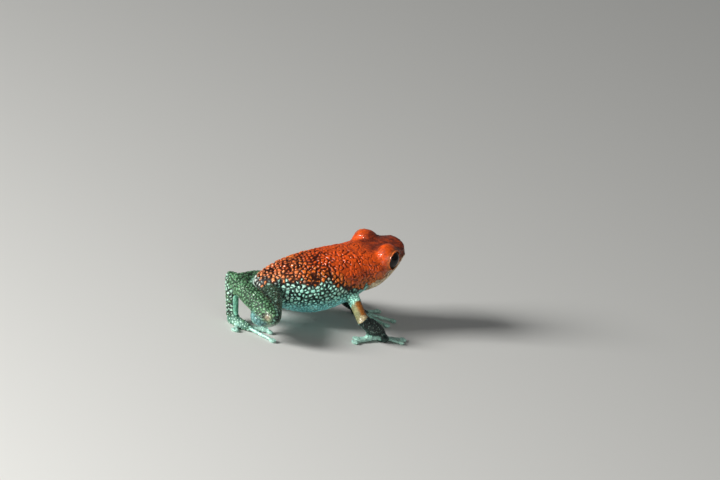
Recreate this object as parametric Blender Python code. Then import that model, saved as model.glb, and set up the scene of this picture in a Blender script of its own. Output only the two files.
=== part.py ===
# Granular poison frog, life-size, standing on its four feet with the right hind leg folded out.
#
# The frog faces +X, its left side is +Y and the floor that it stands on is z = 0.
# Sizes are in millimetres and are turned to metres when each mesh is made.
import math

import bmesh
import bpy
from mathutils import Matrix, Vector

MM = 0.001
GAP = 0.3
WELD = 0.002

# Body: stations are measured along the spine from the hips, the snout is at +18.
HIP_HEIGHT = 3.95
BODY_PITCH = math.radians(13.0)
BODY_ROLL = math.radians(4.0)
HEAD_LIFT = math.radians(7.5)
HEAD_TURN = math.radians(11.0)
HEAD_ROLL = math.radians(-2.0)
BEND_FROM, BEND_TO = 4.0, 13.0
NECK_X = 11.0
NECK_LEAN = math.radians(8.0)

# Trunk: station, half-width, height of the back, depth of the belly.
TRUNK = [
    (-1.85, 0.10, 0.20, 0.10),
    (-1.70, 0.70, 0.75, 0.60),
    (-1.10, 1.45, 1.40, 1.25),
    (0.30, 2.40, 1.95, 2.15),
    (2.60, 3.30, 2.42, 3.30),
    (5.50, 3.80, 2.78, 3.85),
    (8.50, 3.60, 2.85, 3.50),
    (11.00, 3.20, 2.60, 2.90),
    (12.60, 2.90, 2.30, 2.40),
]
TRUNK_SIDES = 26
TRUNK_SQUARENESS = 0.92

# Head: station, half-width, height of the crown, depth of the chin.
HEAD = [
    (9.80, 3.10, 2.60, 3.05),
    (11.30, 3.25, 2.40, 2.94),
    (12.80, 3.28, 2.10, 2.90),
    (14.30, 3.02, 1.88, 2.34),
    (15.80, 2.42, 1.64, 1.88),
    (16.90, 1.84, 1.38, 1.50),
    (17.65, 1.42, 1.24, 1.02),
    (17.95, 0.84, 0.86, 0.52),
]
HEAD_SIDES = 28
HEAD_SQUARENESS = 0.86
MOUTH_X, MOUTH_HEIGHT = 17.0, -0.65
MOUTH_SLOPE = math.radians(9.0)
LIP_RADIUS = 0.24
LIP_SUNK = 0.17
LIP_FROM = 12.2
LIP_POINTS, LIP_SIDES = 24, 6
LIP_SEARCHES = 20

# Eyes, at a spot beside the crown, and the lids that hold them.
EYE_X, EYE_Y, EYE_Z = 14.60, 2.18, 0.80
EYE_RADIUS = 1.30
EYE_CLEARANCE = 0.20
LID_RADIUS = 1.70
LID_OPENING = 1.42
LID_EDGE = 0.45
LID_SIDES, EYE_SIDES = 20, 16
GAZE = (0.45, 1.0, 0.14)

# Ear discs and nostrils.
EAR_X, EAR_Z = 12.45, -0.10
EAR_RADIUS = 0.50
EAR_RIM = 0.13
EAR_SUNK = 0.03
EAR_ROUND, EAR_RIM_SIDES = 16, 6
NOSTRIL_X, NOSTRIL_Z = 17.15, 0.55
NOSTRIL_RADIUS = 0.17
NOSTRIL_SIDES = 8

# Limb joints, each a point over the floor: the right side is the one that stands out.
SHOULDER = {"right": (9.7, -2.2, 4.6), "left": (9.4, 2.4, 4.8)}
ELBOW = {"right": (9.3, -6.7, 2.85), "left": (11.6, 5.8, 2.5)}
WRIST = {"right": (13.4, -4.9, 0.8), "left": (14.3, 2.5, 0.8)}
HIP = {"right": (-0.4, -1.3, 3.5), "left": (0.0, 1.3, 3.8)}
KNEE = {"right": (-4.3, -8.6, 3.5), "left": (5.4, 6.6, 2.0)}
HEEL = {"right": (-5.8, -0.9, 5.0), "left": (-2.2, 3.2, 3.1)}
ANKLE = {"right": (-5.3, -2.2, 0.8), "left": (0.2, 6.2, 0.8)}

# Thickness of each limb length, half across, at its near end, middle and far end.
UPPER_ARM = (0.78, 0.68, 0.66)
FOREARM = (0.66, 0.88, 0.60)
THIGH = (1.35, 1.35, 1.05)
THIGH_DEEPER = (0.0, 0.60, 0.0)
SHANK = (0.98, 1.22, 0.80)
TARSUS = (0.84, 0.76, 0.72)
LIMB_SIDES = 14

# Round end of a length: shares of its own half-thickness at which it has a ring beyond its end.
END_RINGS = (0.62, 0.94)
STEEP = 0.9

# The fold of flesh under the shank: its place and length along it, its offset and half-width behind it,
# and its drop and half-height as shares of the knee's height.
CALF_SHARE, CALF_LENGTH = 0.14, 1.30
CALF_BEHIND, CALF_HALF = 0.65, 0.95
CALF_DROP, CALF_DEPTH = 0.24, 0.30
CALF_SIDES = 12

# Hands and feet: heading of each, and the spread and length of each of its digits from the inner one.
HAND_HEADING = {"right": -88, "left": -32}
PALM_LENGTH, PALM_WIDTH, PALM_HEIGHT = 0.9, 1.35, 1.0
FINGER_FROM, FINGER_SPREAD = 0.55, 0.30
FINGER_IN_PALM = 0.27
FINGERS = {
    "right": [(92, 2.6), (70, 1.9), (-75, 4.2), (-89, 3.2)],
    "left": [(62, 2.3), (27, 3.3), (-8, 3.6), (-52, 3.0)],
}
FOOT_HEADING = {"right": -70, "left": 28}
SOLE_LENGTH, SOLE_WIDTH, SOLE_HEIGHT = 2.2, 1.5, 1.05
TOES = [(106, 1.5), (80, 2.1), (53, 2.9), (8, 3.8), (-54, 2.1)]
TOE_FROM = (0.4, 0.95, 0.95, 0.95, 0.4)
TOE_SPREAD = 0.25
DIGIT_HALF = 0.24
DISC_HALF = 0.40
DISC_LENGTH = 0.70
DISC_LEVEL, DISC_THICK = 0.20, 0.24
DIGIT_SIDES = 8

# Along a digit, as shares of it: how thick it is and how high its middle lies.
DIGIT_ROWS = [(0.0, 1.15, 0.42), (0.35, 1.0, 0.36), (0.7, 1.06, 0.27), (1.0, 0.86, 0.24)]
DISC_ROWS = [(0.35, 0.92), (0.65, 1.0), (0.85, 0.85)]

# Along a palm or sole: its width and its thickness above and below its middle.
PAD_ROWS = [(0.0, 0.72, 0.62), (0.45, 0.95, 0.57), (1.0, 0.80, 0.50)]
PAD_LEVEL = 0.42
PAD_SIDES = 12

COLOURS = {
    "head": (0.62, 0.07, 0.01),
    "trunk": (0.55, 0.08, 0.015),
    "jaw": (0.45, 0.30, 0.18),
    "eye": (0.005, 0.006, 0.012),
    "arm": (0.30, 0.36, 0.30),
    "leg": (0.16, 0.30, 0.20),
    "digit": (0.55, 0.72, 0.66),
}
SKIN_ROUGHNESS, EYE_ROUGHNESS = 0.5, 0.08

for old in list(bpy.data.objects):
    bpy.data.objects.remove(old, do_unlink=True)


def collection(name):
    """A new collection in the scene."""
    made = bpy.data.collections.new(name)
    bpy.context.scene.collection.children.link(made)
    return made


FROG = collection("granular_poison_frog")
CUTTERS = collection("cutters")


def material(name, colour, roughness):
    """A plain material of one colour."""
    made = bpy.data.materials.new(name)
    made.use_nodes = True
    shader = made.node_tree.nodes["Principled BSDF"]
    shader.inputs["Base Color"].default_value = (*colour, 1.0)
    shader.inputs["Roughness"].default_value = roughness
    return made


def eased(rows, steps):
    """Rows of sizes with new ones between them, along a smooth curve through each."""
    out = []
    last = len(rows) - 1
    for i in range(last):
        before = rows[max(i - 1, 0)]
        after = rows[min(i + 2, last)]
        for k in range(steps):
            t = k / steps
            row = []
            for a, b, c, d in zip(before, rows[i], rows[i + 1], after):
                start = (c - a) / 2
                end = (d - b) / 2
                bend = 3 * (c - b) - 2 * start - end
                twist = 2 * (b - c) + start + end
                row.append(b + start * t + bend * t * t + twist * t ** 3)
            out.append(tuple(row))
    out.append(tuple(rows[-1]))
    return out


def loft(name, rings):
    """A closed solid through rings of points, given in millimetres, with a pole at each end."""
    bm = bmesh.new()
    loops = [[bm.verts.new(p * MM) for p in ring] for ring in rings]
    sides = len(rings[0])
    for ring, following in zip(loops, loops[1:]):
        for i in range(sides):
            j = (i + 1) % sides
            bm.faces.new((ring[i], ring[j], following[j], following[i]))
    for ring, points in ((loops[0], rings[0]), (loops[-1], rings[-1])):
        pole = bm.verts.new(sum(points, Vector()) / sides * MM)
        for i in range(sides):
            bm.faces.new((pole, ring[i], ring[(i + 1) % sides]))
    bmesh.ops.recalc_face_normals(bm, faces=bm.faces)
    return finished(name, bm)


def finished(name, bm):
    """The object made from a bmesh, with its faces pointing out and shaded smooth."""
    mesh = bpy.data.meshes.new(name)
    bm.to_mesh(mesh)
    bm.free()
    mesh.shade_smooth()
    return as_cutter(name, mesh)


def as_cutter(name, mesh):
    """An object among the cutters, which are drawn as wires only."""
    made = bpy.data.objects.new(name, mesh)
    made.display_type = "WIRE"
    made.hide_render = True
    CUTTERS.objects.link(made)
    return made


def ball(name, centre, radii, sides=16, turn=Matrix.Identity(4)):
    """An ellipsoid at a point given in millimetres."""
    bm = bmesh.new()
    bmesh.ops.create_uvsphere(bm, u_segments=sides, v_segments=sides * 5 // 8, radius=1.0)
    size = Matrix.Diagonal((*[r * MM for r in radii], 1.0))
    bmesh.ops.transform(bm, matrix=Matrix.Translation(centre * MM) @ turn @ size, verts=bm.verts)
    return finished(name, bm)


def disc(name, point, normal, radius, depth):
    """A short round block that stands on a point and reaches out along its normal."""
    sides = 24
    bm = bmesh.new()
    broad = radius * MM
    bmesh.ops.create_cone(bm, cap_ends=True, segments=sides, radius1=broad, radius2=broad, depth=depth * MM)
    turn = normal.to_track_quat("Z", "Y").to_matrix().to_4x4()
    place = Matrix.Translation((point + normal * depth / 2) * MM)
    bmesh.ops.transform(bm, matrix=place @ turn, verts=bm.verts)
    return finished(name, bm)


def half_space(name, point, normal):
    """A large block that fills the side of a plane that its normal points to."""
    reach = 40.0
    bm = bmesh.new()
    bmesh.ops.create_cube(bm, size=reach * MM)
    turn = normal.to_track_quat("Z", "Y").to_matrix().to_4x4()
    place = Matrix.Translation((point + normal.normalized() * reach / 2) * MM)
    bmesh.ops.transform(bm, matrix=place @ turn, verts=bm.verts)
    return finished(name, bm)


def combine(target, tools, operation):
    """Joins tools to the target, or cuts them from it, and removes them."""
    bpy.context.view_layer.update()
    pieces = bpy.data.collections.new("pieces")
    for tool in tools:
        pieces.objects.link(tool)
    modifier = target.modifiers.new("combine", "BOOLEAN")
    modifier.operation = operation
    modifier.solver = "EXACT"
    modifier.operand_type = "COLLECTION"
    modifier.collection = pieces
    graph = bpy.context.evaluated_depsgraph_get()
    mesh = bpy.data.meshes.new_from_object(target.evaluated_get(graph))
    target.modifiers.clear()
    target.data = mesh
    for tool in tools:
        bpy.data.objects.remove(tool, do_unlink=True)
    bpy.data.collections.remove(pieces)
    keep_largest(target)


def keep_largest(target):
    """Keeps only the closed surface with the most faces, welded and in triangles."""
    bm = bmesh.new()
    bm.from_mesh(target.data)
    bmesh.ops.remove_doubles(bm, verts=bm.verts, dist=WELD * MM)
    bmesh.ops.dissolve_degenerate(bm, edges=bm.edges, dist=WELD * MM)
    seen = set()
    shells = []
    for start in bm.verts:
        if start in seen:
            continue
        shell = {start}
        edge_of_shell = [start]
        while edge_of_shell:
            vertex = edge_of_shell.pop()
            for edge in vertex.link_edges:
                other = edge.other_vert(vertex)
                if other not in shell:
                    shell.add(other)
                    edge_of_shell.append(other)
        seen |= shell
        shells.append(shell)
    largest = max(shells, key=len)
    bmesh.ops.delete(bm, geom=[v for v in bm.verts if v not in largest], context="VERTS")
    bm.to_mesh(target.data)
    bm.free()
    target.data.shade_smooth()


def copy_of(source, grow=0.0):
    """A copy of an object, its surface moved out by some millimetres."""
    mesh = source.data.copy()
    bm = bmesh.new()
    bm.from_mesh(mesh)
    bm.normal_update()
    moved = [vertex.co + vertex.normal * grow * MM for vertex in bm.verts]
    for vertex, place in zip(bm.verts, moved):
        vertex.co = place
    bm.to_mesh(mesh)
    bm.free()
    return as_cutter(source.name + "_copy", mesh)


def keep_side(target, point, normal):
    """Cuts a solid at a plane, half the gap back, and keeps the side that its normal points to."""
    away = -normal.normalized()
    block = half_space("block", point - away * GAP / 2, away)
    combine(target, [block], "DIFFERENCE")


def into_frog(target, name, look):
    """Makes a solid one of the frog's named parts."""
    target.name = name
    target.display_type = "TEXTURED"
    target.hide_render = False
    CUTTERS.objects.unlink(target)
    FROG.objects.link(target)
    target.data.name = name
    target.data.materials.clear()
    roughness = EYE_ROUGHNESS if look == "eye" else SKIN_ROUGHNESS
    target.data.materials.append(material(name, COLOURS[look], roughness))


# The spine: a line from rump to snout that lifts and turns at the neck.
def ease(t):
    """Runs from 0 to 1 with a soft start and stop."""
    t = min(max(t, 0.0), 1.0)
    return t * t * (3 - 2 * t)


def spine_angles(x):
    """Pitch, turn and roll of the spine at a station."""
    share = ease((x - BEND_FROM) / (BEND_TO - BEND_FROM))
    return BODY_PITCH + HEAD_LIFT * share, HEAD_TURN * share, HEAD_ROLL * share


def spine_turn(x):
    """Rotation of a section of the body at a station."""
    pitch, turn, roll = spine_angles(x)
    heading = Matrix.Rotation(BODY_ROLL, 4, "X") @ Matrix.Rotation(turn, 4, "Z")
    return heading @ Matrix.Rotation(-pitch, 4, "Y") @ Matrix.Rotation(roll, 4, "X")


def spine_point(x):
    """Centre of a section of the body at a station."""
    steps = 24
    point = Vector((0, 0, HIP_HEIGHT))
    for i in range(steps):
        middle = x * (i + 0.5) / steps
        point += spine_turn(middle) @ Vector((x / steps, 0, 0))
    return point


def on_body(x, y, z):
    """A point beside the spine, across and up from its station."""
    return spine_point(x) + spine_turn(x) @ Vector((0, y, z))


def section(x, half_width, top, bottom, sides, squareness):
    """A ring round the body: wider or narrower than an ellipse by its squareness."""
    ring = []
    for i in range(sides):
        angle = 2 * math.pi * (i + 0.5) / sides
        across = math.copysign(abs(math.cos(angle)) ** squareness, math.cos(angle))
        along = math.copysign(abs(math.sin(angle)) ** squareness, math.sin(angle))
        ring.append(on_body(x, half_width * across, (top if along > 0 else bottom) * along))
    return ring


def body_loft(name, table, steps, sides, squareness):
    """A length of the body from its table of sections."""
    return loft(name, [section(*row, sides, squareness) for row in eased(table, steps)])


def neck_plane():
    """The plane between trunk and head, facing the head."""
    lean = Matrix.Rotation(-NECK_LEAN, 4, "Y")
    return on_body(NECK_X, 0, 0), (spine_turn(NECK_X) @ lean @ Vector((1, 0, 0))).normalized()


def head_row(x):
    """Half-width, crown height and chin depth of the head at a station."""
    rows = eased(HEAD, 8)
    for row, following in zip(rows, rows[1:]):
        if row[0] <= x <= following[0]:
            share = (x - row[0]) / (following[0] - row[0])
            return [a + (b - a) * share for a, b in zip(row[1:], following[1:])]
    return rows[-1][1:]


def beside_head(x, z):
    """How far the head's side lies from its middle, at a station and a height."""
    half_width, top, bottom = head_row(x)
    nearest_pole = 0.98
    share = min(abs(z) / (top if z > 0 else bottom), nearest_pole)
    angle = math.asin(share ** (1 / HEAD_SQUARENESS))
    return half_width * math.cos(angle) ** HEAD_SQUARENESS


def make_trunk():
    """The trunk, from rump to neck."""
    trunk = body_loft("trunk", TRUNK, 3, TRUNK_SIDES, TRUNK_SQUARENESS)
    point, forward = neck_plane()
    keep_side(trunk, point, -forward)
    return trunk


def mouth_plane():
    """The plane of the closed mouth, facing the crown."""
    tilt = Matrix.Rotation(-MOUTH_SLOPE, 4, "Y")
    upward = spine_turn(MOUTH_X) @ tilt @ Vector((0, 0, 1))
    return on_body(MOUTH_X, 0, MOUTH_HEIGHT), upward.normalized()


def mouth_height(x):
    """Height of the line of the mouth beside the spine at a station."""
    return MOUTH_HEIGHT - (MOUTH_X - x) * math.tan(MOUTH_SLOPE)


def lip_point(swing, offset):
    """Where the head's side lies at the mouth, looking out at an angle from between the jaw's corners."""
    near, far = 0.0, HEAD[-1][0] - LIP_FROM
    for _ in range(LIP_SEARCHES):
        reach = (near + far) / 2
        x = LIP_FROM + reach * math.cos(swing)
        z = mouth_height(x) + offset
        if reach * abs(math.sin(swing)) < beside_head(x, z) and abs(z) < head_row(x)[2]:
            near = reach
        else:
            far = reach
    return x - LIP_SUNK * math.cos(swing), (reach - LIP_SUNK) * math.sin(swing), z


def make_lip(offset):
    """A low rim that follows the line of the mouth round the snout, set off above or below it."""
    rows = []
    for i in range(LIP_POINTS + 1):
        swing = math.pi * (i / LIP_POINTS - 0.5)
        rows.append((*on_body(*lip_point(swing, GAP / 2 + offset)), LIP_RADIUS, LIP_RADIUS))
    return tube("lip", rows, LIP_SIDES)


def make_ear(side):
    """The rim round an ear disc."""
    spot = on_body(EAR_X, side * (beside_head(EAR_X, EAR_Z) - EAR_SUNK), EAR_Z)
    facing = spine_turn(EAR_X) @ Matrix.Rotation(math.radians(90), 4, "X")
    bpy.ops.mesh.primitive_torus_add(
        major_radius=EAR_RADIUS * MM, minor_radius=EAR_RIM * MM,
        major_segments=EAR_ROUND, minor_segments=EAR_RIM_SIDES)
    ring = bpy.context.object
    ring.data.transform(Matrix.Translation(spot * MM) @ facing)
    return ring


def make_head():
    """Crown and lower jaw, parted at the line of the mouth, with lids, ears and nostrils."""
    whole = body_loft("head", HEAD, 3, HEAD_SIDES, HEAD_SQUARENESS)
    swellings = []
    for side in (-1, 1):
        centre = on_body(EYE_X, side * EYE_Y, EYE_Z)
        swellings.append(ball("lid", centre, [LID_RADIUS] * 3, LID_SIDES, spine_turn(EYE_X)))
        swellings.append(make_ear(side))
    for offset in (LIP_RADIUS, -LIP_RADIUS - GAP):
        swellings.append(make_lip(offset))
    combine(whole, swellings, "UNION")
    cuts = []
    for side in (-1, 1):
        centre = on_body(EYE_X, side * EYE_Y, EYE_Z)
        turn = spine_turn(EYE_X)
        cuts.append(ball("socket", centre, [EYE_RADIUS + EYE_CLEARANCE] * 3, LID_SIDES, turn))
        gaze = turn @ Vector((GAZE[0], side * GAZE[1], GAZE[2])).normalized()
        cuts.append(disc("opening", centre + gaze * LID_EDGE, gaze, LID_OPENING, LID_RADIUS))
        nostril = on_body(NOSTRIL_X, side * beside_head(NOSTRIL_X, NOSTRIL_Z), NOSTRIL_Z)
        cuts.append(ball("nostril", nostril, [NOSTRIL_RADIUS] * 3, NOSTRIL_SIDES, turn))
    combine(whole, cuts, "DIFFERENCE")
    point, forward = neck_plane()
    keep_side(whole, point, forward)
    jaw = copy_of(whole)
    level, upward = mouth_plane()
    keep_side(whole, level, upward)
    keep_side(jaw, level, -upward)
    return whole, jaw


def make_eye(side):
    """An eyeball in its lids."""
    centre = on_body(EYE_X, side * EYE_Y, EYE_Z)
    return ball("eye", centre, [EYE_RADIUS] * 3, EYE_SIDES, spine_turn(EYE_X))


# Limbs: tapered lengths with round ends, parted at each joint.
def tube(name, rows, sides, up=Vector((0, 0, 1))):
    """A solid round a line of points: each row is a point, a half-width and a half-height."""
    first, second = Vector(rows[0][:3]), Vector(rows[1][:3])
    last, before = Vector(rows[-1][:3]), Vector(rows[-2][:3])
    start = (first - second).normalized()
    end = (last - before).normalized()
    capped = []
    for share in reversed(END_RINGS):
        shrink = math.sqrt(1 - share * share)
        capped.append((*(first + start * rows[0][3] * share), rows[0][3] * shrink, rows[0][4] * shrink))
    capped.extend(rows)
    for share in END_RINGS:
        shrink = math.sqrt(1 - share * share)
        capped.append((*(last + end * rows[-1][3] * share), rows[-1][3] * shrink, rows[-1][4] * shrink))
    rings = []
    for i, row in enumerate(capped):
        centre = Vector(row[:3])
        along = Vector(capped[min(i + 1, len(capped) - 1)][:3]) - Vector(capped[max(i - 1, 0)][:3])
        side = along.cross(up).normalized()
        top = side.cross(along).normalized()
        ring = []
        for k in range(sides):
            angle = 2 * math.pi * k / sides
            ring.append(centre + side * row[3] * math.cos(angle) + top * row[4] * math.sin(angle))
        rings.append(ring)
    return loft(name, rings)


def limb(name, start, end, halves, steps=2, deeper=(0.0, 0.0, 0.0)):
    """A length of a limb between two joints, thick as its three halves say and deeper below by some more."""
    start, end = Vector(start), Vector(end)
    rows = []
    for share, half, more in zip((0.0, 0.5, 1.0), halves, deeper):
        rows.append((*(start.lerp(end, share) - Vector((0, 0, more))), half, half + more))
    up = Vector((0, 0, 1))
    if abs((end - start).normalized().z) > STEEP:
        up = Vector((1, 0, 0))
    return tube(name, eased(rows, steps), LIMB_SIDES, up)


def part_joint(nearer, farther, start, joint, end):
    """Cuts two lengths of a limb apart at the plane that halves their joint."""
    start, joint, end = Vector(start), Vector(joint), Vector(end)
    normal = (start - joint).normalized() - (end - joint).normalized()
    keep_side(nearer, joint, normal)
    keep_side(farther, joint, -normal)


def clear_of(target, neighbours):
    """Cuts from a solid whatever lies within the gap of its neighbours."""
    combine(target, [copy_of(other, GAP) for other in neighbours], "DIFFERENCE")


def floor_cut(target):
    """Cuts a solid flat at the floor."""
    combine(target, [half_space("floor", Vector((0, 0, 0)), Vector((0, 0, -1)))], "DIFFERENCE")


def heading_vector(angle):
    """The level direction of an angle, measured from +X towards +Y."""
    return Vector((math.cos(angle), math.sin(angle), 0))


def pad(name, joint, heading, length, width, height):
    """Palm or sole: a low pad on the floor, from under its joint outward."""
    start = Vector((joint[0], joint[1], height * PAD_LEVEL))
    along = heading_vector(heading)
    rows = []
    for share, broad, thick in PAD_ROWS:
        rows.append((*(start + along * length * share), width / 2 * broad, height * thick))
    return tube(name, eased(rows, 2), PAD_SIDES)


def digit(name, root, heading, length):
    """A finger or toe on the floor, with a broad disc at its tip."""
    along = heading_vector(heading)
    neck = length - DISC_LENGTH
    rows = []
    for share, thick, level in DIGIT_ROWS:
        point = root + along * neck * share
        rows.append((point.x, point.y, level, DIGIT_HALF * thick, DIGIT_HALF * thick))
    for share, broad in DISC_ROWS:
        point = root + along * (neck + DISC_LENGTH * share)
        rows.append((point.x, point.y, DISC_LEVEL, DISC_HALF * broad, DISC_THICK))
    return tube(name, rows, DIGIT_SIDES)


def make_arm(side, sign, trunk):
    """Upper arm, forearm, hand and fingers of one side."""
    shoulder, elbow, wrist = SHOULDER[side], ELBOW[side], WRIST[side]
    upper = limb("upper", shoulder, elbow, UPPER_ARM)
    lower = limb("lower", elbow, wrist, FOREARM)
    heading = math.radians(HAND_HEADING[side])
    hand = pad("hand", wrist, heading, PALM_LENGTH, PALM_WIDTH, PALM_HEIGHT)
    clear_of(upper, [trunk])
    part_joint(upper, lower, shoulder, elbow, wrist)
    floor_cut(hand)
    clear_of(lower, [hand])
    fingers = []
    along = heading_vector(heading)
    for number, (spread, length) in enumerate(FINGERS[side], 1):
        turn = heading - sign * math.radians(spread)
        centre = Vector((wrist[0], wrist[1], 0)) + along * PALM_LENGTH * FINGER_FROM
        root = centre + heading_vector(turn) * PALM_WIDTH * FINGER_SPREAD
        finger = digit("finger", root, turn, length + FINGER_IN_PALM)
        clear_of(finger, [hand])
        floor_cut(finger)
        for other in fingers:
            clear_of(finger, [other])
        fingers.append(finger)
        into_frog(finger, f"{side}_finger_{number}", "digit")
    into_frog(upper, f"{side}_upper_arm", "arm")
    into_frog(lower, f"{side}_forearm", "arm")
    into_frog(hand, f"{side}_hand", "arm")


def make_calf(hip, knee, heel):
    """The fold of flesh under the shank, close behind the knee."""
    hip, knee, heel = Vector(hip), Vector(knee), Vector(heel)
    middle = knee.lerp(heel, CALF_SHARE)
    away = (heel - knee).normalized() - (hip - knee).normalized()
    away.z = 0
    centre = middle + away.normalized() * CALF_BEHIND - Vector((0, 0, knee.z * CALF_DROP))
    radii = (CALF_HALF, CALF_LENGTH, knee.z * CALF_DEPTH)
    heading = math.atan2(heel.y - knee.y, heel.x - knee.x) - math.pi / 2
    return ball("calf", centre, radii, CALF_SIDES, Matrix.Rotation(heading, 4, "Z"))


def make_leg(side, sign, trunk):
    """Thigh, shank, tarsus, foot and toes of one side."""
    hip, knee, heel, ankle = HIP[side], KNEE[side], HEEL[side], ANKLE[side]
    thigh = limb("thigh", hip, knee, THIGH, 3, THIGH_DEEPER)
    shank = limb("shank", knee, heel, SHANK, 3)
    combine(shank, [make_calf(hip, knee, heel)], "UNION")
    tarsus = limb("tarsus", heel, ankle, TARSUS)
    heading = math.radians(FOOT_HEADING[side])
    foot = pad("foot", ankle, heading, SOLE_LENGTH, SOLE_WIDTH, SOLE_HEIGHT)
    clear_of(thigh, [trunk])
    part_joint(thigh, shank, hip, knee, heel)
    part_joint(shank, tarsus, knee, heel, ankle)
    clear_of(shank, [trunk])
    floor_cut(foot)
    clear_of(tarsus, [foot])
    toes = []
    along = heading_vector(heading)
    for number, (spread, length) in enumerate(TOES, 1):
        turn = heading - sign * math.radians(spread)
        centre = Vector((ankle[0], ankle[1], 0)) + along * SOLE_LENGTH * TOE_FROM[number - 1]
        root = centre + heading_vector(turn) * SOLE_WIDTH * TOE_SPREAD
        toe = digit("toe", root, turn, length)
        clear_of(toe, [foot])
        floor_cut(toe)
        for other in toes:
            clear_of(toe, [other])
        toes.append(toe)
        into_frog(toe, f"{side}_toe_{number}", "digit")
    into_frog(thigh, f"{side}_thigh", "leg")
    into_frog(shank, f"{side}_shank", "leg")
    into_frog(tarsus, f"{side}_tarsus", "leg")
    into_frog(foot, f"{side}_foot", "leg")


trunk_solid = make_trunk()
head_solid, jaw_solid = make_head()
for side_name, side_sign in (("right", -1), ("left", 1)):
    into_frog(make_eye(side_sign), f"{side_name}_eye", "eye")
    make_arm(side_name, side_sign, trunk_solid)
    make_leg(side_name, side_sign, trunk_solid)
into_frog(trunk_solid, "torso", "trunk")
into_frog(head_solid, "head", "head")
into_frog(jaw_solid, "lower_jaw", "jaw")

# The whole frog rides on one empty, set so that the middle of its box is over the origin.
bpy.context.view_layer.update()
corners = [part.matrix_world @ Vector(corner) for part in FROG.objects for corner in part.bound_box]
carrier = bpy.data.objects.new("frog", None)
FROG.objects.link(carrier)
for part in [piece for piece in FROG.objects if piece.type == "MESH"]:
    part.parent = carrier
carrier.location.x = -(min(c.x for c in corners) + max(c.x for c in corners)) / 2
carrier.location.y = -(min(c.y for c in corners) + max(c.y for c in corners)) / 2
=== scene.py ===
import math

import bmesh
import bpy
import numpy as np
from mathutils import Matrix, Vector
from mathutils.bvhtree import BVHTree
from mathutils.kdtree import KDTree


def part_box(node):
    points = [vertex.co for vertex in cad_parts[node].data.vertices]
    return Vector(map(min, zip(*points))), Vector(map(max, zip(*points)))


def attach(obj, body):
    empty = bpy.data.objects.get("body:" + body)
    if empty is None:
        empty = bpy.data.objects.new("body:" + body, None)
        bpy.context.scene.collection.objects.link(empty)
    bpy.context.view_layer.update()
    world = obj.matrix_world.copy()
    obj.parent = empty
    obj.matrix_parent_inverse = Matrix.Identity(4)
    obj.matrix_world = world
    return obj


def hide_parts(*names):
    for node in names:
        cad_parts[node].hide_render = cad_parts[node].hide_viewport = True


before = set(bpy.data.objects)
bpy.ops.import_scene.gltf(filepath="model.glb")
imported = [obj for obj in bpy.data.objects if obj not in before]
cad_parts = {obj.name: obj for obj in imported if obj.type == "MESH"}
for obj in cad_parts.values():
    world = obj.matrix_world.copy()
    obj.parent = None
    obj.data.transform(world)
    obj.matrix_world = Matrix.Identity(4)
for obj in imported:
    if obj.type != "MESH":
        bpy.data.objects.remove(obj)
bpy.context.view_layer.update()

# Body axis
# A frog has no neck: the trunk runs on into the head, which is lifted here and turned to its left.
# A station is a distance in millimetres along the spine from the hips, as in the solids, and all
# lengths from here on are in millimetres until a mesh is finished.
MM = 1000.0
HIPS_FROM_RUMP, HIPS_FROM_SIDE = 1.864, 3.872
HIP_HEIGHT = 3.95
BODY_PITCH = math.radians(13.0)
BODY_ROLL = math.radians(4.0)
HEAD_LIFT = math.radians(7.5)
HEAD_TURN = math.radians(11.0)
HEAD_ROLL = math.radians(-2.0)
BEND_FROM, BEND_TO = 4.0, 13.0
REAR_STATION, FRONT_STATION, STATION_STEP = -4.0, 20.0, 0.1
STATIONS = np.arange(REAR_STATION, FRONT_STATION, STATION_STEP)
SEARCH_ROUNDS = 4


def smooth(values, start, end):
    """0 below start and 1 above end, with a soft change between them."""
    share = np.clip((values - start) / (end - start), 0.0, 1.0)
    return share * share * (3 - 2 * share)


def turned(axis, angle):
    """The rotation about one of the three axes."""
    cosine, sine = math.cos(angle), math.sin(angle)
    if axis == "X":
        return np.array([[1, 0, 0], [0, cosine, -sine], [0, sine, cosine]])
    if axis == "Y":
        return np.array([[cosine, 0, sine], [0, 1, 0], [-sine, 0, cosine]])
    return np.array([[cosine, -sine, 0], [sine, cosine, 0], [0, 0, 1]])


def body_turn(station):
    """The rotation of the body's section at a station: forward, left and up are its columns."""
    share = float(smooth(np.array(station), BEND_FROM, BEND_TO))
    pitch = turned("Y", -(BODY_PITCH + HEAD_LIFT * share))
    heading = turned("X", BODY_ROLL) @ turned("Z", HEAD_TURN * share)
    return heading @ pitch @ turned("X", HEAD_ROLL * share)


torso_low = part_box("torso")[0] * MM
hips = np.array([torso_low.x + HIPS_FROM_RUMP, torso_low.y + HIPS_FROM_SIDE, HIP_HEIGHT])
section_turns = np.array([body_turn(station) for station in STATIONS])
spine_steps = section_turns[:, :, 0] * STATION_STEP
spine = np.cumsum(spine_steps, axis=0)
spine += hips - spine[np.argmin(abs(STATIONS))]


def along_body(points):
    """Station, distance to the left and height over the spine of each point."""
    station = (points - hips) @ section_turns[0][:, 0]
    for _ in range(SEARCH_ROUNDS):
        steps = np.round((station - STATIONS[0]) / STATION_STEP)
        nearest = np.clip(steps, 0, len(STATIONS) - 1).astype(int)
        offset = points - spine[nearest]
        ahead = np.einsum("ij,ij->i", offset, section_turns[nearest][:, :, 0])
        station = STATIONS[nearest] + ahead
    across = np.einsum("ij,ij->i", offset, section_turns[nearest][:, :, 1])
    height = np.einsum("ij,ij->i", offset, section_turns[nearest][:, :, 2])
    return station, across, height


def on_body(station, across, height):
    """The point at a station, to the left of the spine and over it."""
    nearest = int(round((station - STATIONS[0]) / STATION_STEP))
    return spine[nearest] + section_turns[nearest] @ np.array([0.0, across, height])


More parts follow.
